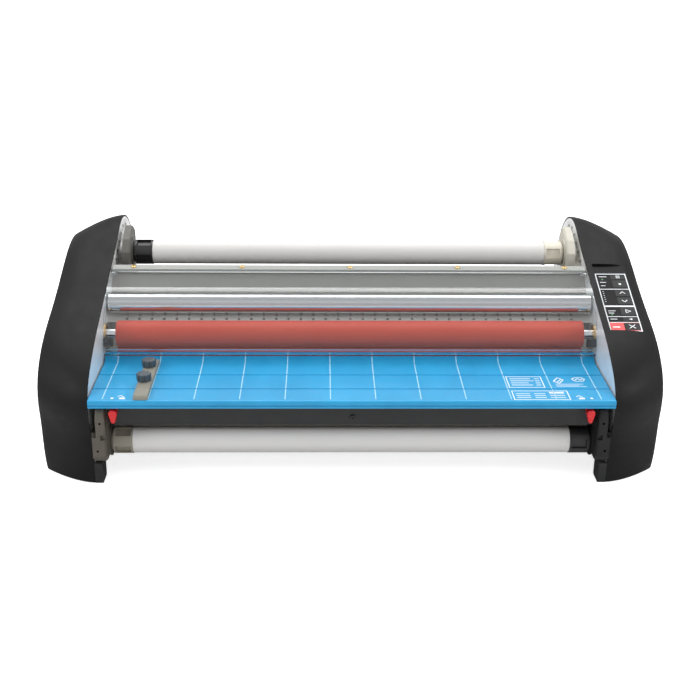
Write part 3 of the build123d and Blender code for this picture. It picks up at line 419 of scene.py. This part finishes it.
# ---------------------------------------------------------------- printed graphics
class Print:
    """Thin raised shapes in one plane, gathered into a single mesh."""

    def __init__(self, origin, across, up, lift=0.0, thickness=0.12):
        self.origin = Vector(origin)
        self.across = Vector(across).normalized()
        self.up = Vector(up).normalized()
        self.normal = self.across.cross(self.up)
        self.lift = lift
        self.thickness = thickness
        self.vertices = []
        self.faces = []

    def point(self, u, v, height):
        return (self.origin + self.across * u + self.up * v + self.normal * height) * MM

    def polygon(self, corners):
        """One convex shape, corners anticlockwise, as a thin closed prism."""
        first = len(self.vertices)
        count = len(corners)
        for height in (self.lift, self.lift + self.thickness):
            self.vertices += [self.point(u, v, height) for u, v in corners]
        bottom = list(range(first, first + count))
        top = list(range(first + count, first + 2 * count))
        self.faces.append(bottom[::-1])
        self.faces.append(top)
        for i in range(count):
            j = (i + 1) % count
            self.faces.append((bottom[i], bottom[j], top[j], top[i]))

    def rect(self, u0, v0, u1, v1):
        self.polygon([(u0, v0), (u1, v0), (u1, v1), (u0, v1)])

    def outline(self, u0, v0, u1, v1, width):
        self.rect(u0, v0, u1, v0 + width)
        self.rect(u0, v1 - width, u1, v1)
        self.rect(u0, v0 + width, u0 + width, v1 - width)
        self.rect(u1 - width, v0 + width, u1, v1 - width)

    def disc(self, u, v, radius, sides=20):
        angles = [2 * math.pi * i / sides for i in range(sides)]
        self.polygon([(u + radius * math.cos(a), v + radius * math.sin(a)) for a in angles])

    def stroke(self, start, end, width):
        a, b = Vector(start), Vector(end)
        side = (b - a).orthogonal().normalized() * width / 2
        self.polygon([tuple(a - side), tuple(b - side), tuple(b + side), tuple(a + side)][::-1])

    def path(self, points, width, closed=False):
        following = points[1:] + ([points[0]] if closed else [])
        for start, end in zip(points, following):
            self.stroke(start, end, width)

    def build(self, name, body, slot, material):
        mesh = bpy.data.meshes.new(name)
        mesh.from_pydata(self.vertices, [], self.faces)
        mesh.validate()
        obj = bpy.data.objects.new(name, mesh)
        bpy.context.scene.collection.objects.link(obj)
        mesh.materials.append(materials[material])
        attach(obj, body)
        return obj


LINE_COUNT = 12
HALF_LINE = 0.65
GROOVE_CLEAR = 1.5


def tray_ruling():
    """Lines from the front edge to the top of the ramp, broken where they cross the grooves."""
    lines = Print((0, 0, TRAY_TOP), (1, 0, 0), (0, 1, 0))
    ramp = Print((0, TRAY_RAMP, TRAY_TOP), (1, 0, 0), (0, RAMP_RUN, RAMP_RISE))
    ramp_length = math.hypot(RAMP_RUN, RAMP_RISE)
    stops = [TRAY_FRONT + 7]
    for groove in GROOVES:
        stops += [groove - GROOVE_CLEAR, groove + GROOVE_CLEAR]
    stops.append(TRAY_RAMP - 1)
    for index in range(LINE_COUNT):
        x = (index - (LINE_COUNT - 1) / 2) * RULING_PITCH
        for start, end in zip(stops[0::2], stops[1::2]):
            lines.rect(x - HALF_LINE, start, x + HALF_LINE, end)
        ramp.rect(x - HALF_LINE, 0.4, x + HALF_LINE, ramp_length - 1)
    ramp.build("ramp_ruling", "tray", "tray_blue", "ink_pale")
    lines.build("tray_ruling", "tray", "tray_blue", "ink_pale")


BOX_LINE = 1.3


def tray_symbols():
    """Generic tables, page symbols and lock arrows printed on the tray."""
    marks = Print((0, 0, TRAY_TOP), (1, 0, 0), (0, 1, 0))
    marks.outline(225, -203, 277, -163, BOX_LINE)
    marks.outline(226, -245, 306, -214, BOX_LINE)
    for row, width in enumerate((30, 34, 26, 31)):
        marks.rect(230, -172 - 7.5 * row, 230 + width, -170.2 - 7.5 * row)
        marks.rect(266, -172 - 7.5 * row, 273, -170.2 - 7.5 * row)
    for row in range(3):
        for start, end in ((231, 251), (257, 273), (279, 300)):
            marks.rect(start, -225 - 6.5 * row, end, -223.5 - 6.5 * row)
    marks.rect(279, -221.5, 300, -218)
    marks.path([(293, -180), (301, -167), (308, -175), (300, -188)], 1.6, closed=True)
    marks.path([(298, -183), (305, -173)], 1.4)
    badge = [(321, -172), (326, -167), (336, -167), (340, -173), (336, -180), (325, -180)]
    marks.path(badge, 1.5, closed=True)
    marks.path([(325, -176), (330, -170), (333, -176), (338, -170)], 1.5)
    for row, width in enumerate((40, 34, 44)):
        marks.rect(294, -191 - 4 * row, 294 + width, -190 - 4 * row)
    for side in (-1, 1):
        marks.disc(side * 336, -240, 2.2)
        marks.rect(side * 322 - 4, -243, side * 322 + 4, -238)
        marks.path([(side * 322 - 7, -234), (side * 322 - 3, -231), (side * 322 + 2, -236)], 1.4)
    marks.build("tray_symbols", "tray", "tray_blue", "ink_white")


def panel_frame():
    """Origin and axes of the control panel's face, as in the CAD."""
    rise = math.atan2(SLOPE_END[1] - SLOPE_START[1], SLOPE_END[0] - SLOPE_START[0])
    height = SLOPE_START[1] + (PANEL_CENTRE[1] - SLOPE_START[0]) * math.tan(rise) - PANEL_SUNK
    origin = Vector((PANEL_CENTRE[0], PANEL_CENTRE[1], height))
    return origin, Vector((1, 0, 0)), Vector((0, math.cos(rise), math.sin(rise)))


def panel_prints():
    """Frame, field lines, generic marks, the red stop field and two lamps on the panel."""
    origin, across, up = panel_frame()
    lines = Print(origin, across, up, thickness=0.15)
    lines.outline(-24, -78, 24, 58.5, 1.6)
    lines.rect(-22.4, 19.9, 22.4, 21.2)
    lines.rect(-22.4, -21.7, 22.4, -18.6)
    lines.rect(-22.4, -44.9, 22.4, -43.7)
    lines.rect(-22.4, -58.1, 22.4, -56.9)
    for v, width in ((51, 12), (37, 9), (29, 7), (-31, 11), (-36, 8), (-50, 10)):
        lines.rect(-19, v - 0.6, -19 + width, v + 0.6)
    for step in range(6):
        lines.disc(-18.5, 15 - 4.8 * step, 0.8, 12)
    lines.path([(-19, -68), (-8, -68)], 2.2)
    lines.build("panel_lines", "chassis", "panel_black", "ink_white")

    stop = Print(origin, across, up, thickness=0.1)
    stop.rect(-22.4, -76.4, -1.5, -58.1)
    stop.rect(-1.5, -76.4, 22.4, -75.1)
    stop.rect(-1.5, -58.9, 22.4, -58.1)
    stop.build("panel_stop_field", "chassis", "panel_black", "ink_red")

    lamps = Print(origin, across, up, thickness=0.4)
    lamps.disc(-14.5, 44, 1.3)
    lamps.disc(-14.5, -40, 1.3)
    lamps.build("panel_lamps", "chassis", "panel_black", "lamp_green")


def key_prints():
    """One simple sign on each key, which moves with it."""

    def mark():
        return Print(*panel_frame(), lift=KEY_PROUD, thickness=0.1)

    page = mark()
    page.outline(KEY_X - 2.5, 47.5, KEY_X + 3, 53.5, 0.9)
    page.rect(KEY_X - 1, 50, KEY_X + 1.5, 51)
    page.build("menu_key_mark", "menu_button", "key_black", "ink_white")

    dot = mark()
    dot.rect(KEY_X - 1.5, 31, KEY_X + 2, 34.5)
    dot.build("setup_key_mark", "setup_button", "key_black", "ink_white")

    for name, middle, way in (("up", 11, 1), ("down", -7.3, -1)):
        arrow = mark()
        foot = middle - 1.5 * way
        arrow.path([(KEY_X - 4, foot), (KEY_X, middle + 3 * way), (KEY_X + 4, foot)], 1.1)
        arrow.build(f"{name}_key_mark", f"{name}_button", "key_black", "ink_white")

    run = mark()
    run.path([(KEY_X - 3, -35.5), (KEY_X + 4.5, -32), (KEY_X - 3, -28.5)], 1.0, closed=True)
    run.build("run_key_mark", "run_button", "key_black", "ink_white")

    reverse = mark()
    reverse.polygon([(KEY_X + 3, -52.7), (KEY_X + 3, -48.3), (KEY_X - 2, -50.5)])
    reverse.build("reverse_key_mark", "reverse_button", "key_black", "ink_white")

    stop = mark()
    stop.stroke((KEY_X - 4.5, -71), (KEY_X + 4.5, -63), 1.2)
    stop.stroke((KEY_X - 4.5, -63), (KEY_X + 4.5, -71), 1.2)
    stop.build("stop_key_mark", "stop_button", "key_black", "ink_white")


def threading_labels():
    """White stickers with a threading sketch behind the top edge of both side plates."""
    for side, name in ((-1, "left"), (1, "right")):
        across = (0, -side, 0)
        face = (side * PLATE_IN, 0, 0)
        sheet = Print(face, across, (0, 0, 1), thickness=0.12)
        lower_part = [(34, 247), (60, 254), (96, 266), (96, 286), (73, 277), (34, 262)]
        upper_part = [(96, 266), (150, 270), (166, 274), (165, 286), (148, 293), (120, 294)]
        upper_part.append((96, 286))
        sketch = Print(face, across, (0, 0, 1), lift=0.12, thickness=0.06)
        flip = -side
        for corners in (lower_part, upper_part):
            sheet.polygon([(flip * y, z) for y, z in corners][::flip])
        loop = [(0, 1), (5, 11), (10, 4), (7, 0), (13, 9), (17, 3)]
        for start, base in ((38, 246), (58, 255), (78, 264), (98, 272), (120, 278), (142, 275)):
            sketch.path([(flip * (start + y), base + z) for y, z in loop], 1.9)
        sheet.build(f"threading_label_{name}", "chassis", "plate_steel", "label_white")
        sketch.build(f"threading_sketch_{name}", "chassis", "plate_steel", "ink_grey")


tray_ruling()
tray_symbols()
panel_prints()
key_prints()
threading_labels()


# ---------------------------------------------------------------- stage, light, camera
def stage_floor():
    """White paper; the camera sees it a little brighter than it lights the object."""
    mesh = bpy.data.meshes.new("floor")
    half = 30.0
    corners = [(-half, -half, 0), (half, -half, 0), (half, half, 0), (-half, half, 0)]
    mesh.from_pydata(corners, [], [(0, 1, 2, 3)])
    floor = bpy.data.objects.new("floor", mesh)
    bpy.context.scene.collection.objects.link(floor)
    s = Shader("floor_paper")
    seen = s.new("ShaderNodeLightPath").outputs["Is Camera Ray"]
    s.put("Base Color", s.blend(seen, (0.74, 0.74, 0.74), (0.9, 0.9, 0.9)))
    s.put("Roughness", 0.8)
    s.put("Specular IOR Level", 0.0)
    s.put("Emission Color", (1, 1, 1))
    s.put("Emission Strength", s.spread(seen, 0, 1, 0, 0.75))
    mesh.materials.append(s.material)


def area_light(name, place, aim, size, power):
    """A rectangular lamp at a place, turned towards its aim."""
    light = bpy.data.lights.new(name, "AREA")
    light.shape = "RECTANGLE"
    light.size, light.size_y = size
    light.energy = power
    obj = bpy.data.objects.new(name, light)
    bpy.context.scene.collection.objects.link(obj)
    obj.location = place
    obj.rotation_euler = (Vector(aim) - Vector(place)).to_track_quat("-Z", "Y").to_euler()


def studio_world():
    """A bright overhead scrim leaning to the back, and a dim room in front."""
    world = bpy.data.worlds.new("studio")
    world.use_nodes = True
    tree = world.node_tree
    place = tree.nodes.new("ShaderNodeTexCoord")
    lean = tree.nodes.new("ShaderNodeVectorMath")
    lean.operation = "DOT_PRODUCT"
    lean.inputs[1].default_value = Vector((0, 0.34, 0.94)).normalized()
    ramp = tree.nodes.new("ShaderNodeValToRGB")
    stops = ramp.color_ramp.elements
    stops[0].position, stops[0].color = 0.0, (0.60, 0.60, 0.61, 1)
    stops[1].position, stops[1].color = 1.0, (0.78, 0.78, 0.78, 1)
    for position, level in ((0.25, 0.80), (0.72, 0.56), (0.90, 0.70)):
        stop = stops.new(position)
        stop.color = (level, level, level * 1.01, 1)
    tree.links.new(place.outputs["Generated"], lean.inputs[0])
    tree.links.new(lean.outputs["Value"], ramp.inputs["Fac"])
    tree.links.new(ramp.outputs["Color"], tree.nodes["Background"].inputs["Color"])
    tree.nodes["Background"].inputs["Strength"].default_value = 1.0
    bpy.context.scene.world = world


def studio():
    scene = bpy.context.scene
    studio_world()
    area_light("top_box", (0.0, 0.75, 1.9), (0, 0.05, 0.1), (2.8, 1.0), 32)
    area_light("left_box", (-1.9, -1.0, 1.4), (0, 0, 0.15), (1.0, 1.0), 18)
    area_light("right_box", (2.0, -1.0, 1.3), (0.2, 0, 0.15), (1.0, 1.0), 20)
    scene.view_settings.view_transform = "Standard"
    scene.view_settings.look = "None"
    scene.view_settings.exposure = 0.0


def camera():
    """A camera in front of the tray, looking down, slightly turned and slightly rolled."""
    yaw, pitch, roll = 0.02691, math.radians(22.0), 0.01138
    level_forward = Vector((math.sin(yaw), math.cos(yaw), 0))
    forward = level_forward * math.cos(pitch) - Vector((0, 0, math.sin(pitch)))
    level = Vector((math.cos(yaw), -math.sin(yaw), 0))
    upright = level.cross(forward)
    right = level * math.cos(roll) + upright * math.sin(roll)
    up = upright * math.cos(roll) - level * math.sin(roll)
    data = bpy.data.cameras.new("camera")
    data.sensor_width = 36.0
    data.lens = 58.72
    data.clip_end = 100
    obj = bpy.data.objects.new("camera", data)
    bpy.context.scene.collection.objects.link(obj)
    turn = Matrix((right, up, -forward)).transposed()
    obj.matrix_world = Matrix.Translation((-0.0444, -1.696, 0.8034)) @ turn.to_4x4()
    bpy.context.scene.camera = obj


stage_floor()
studio()
camera()
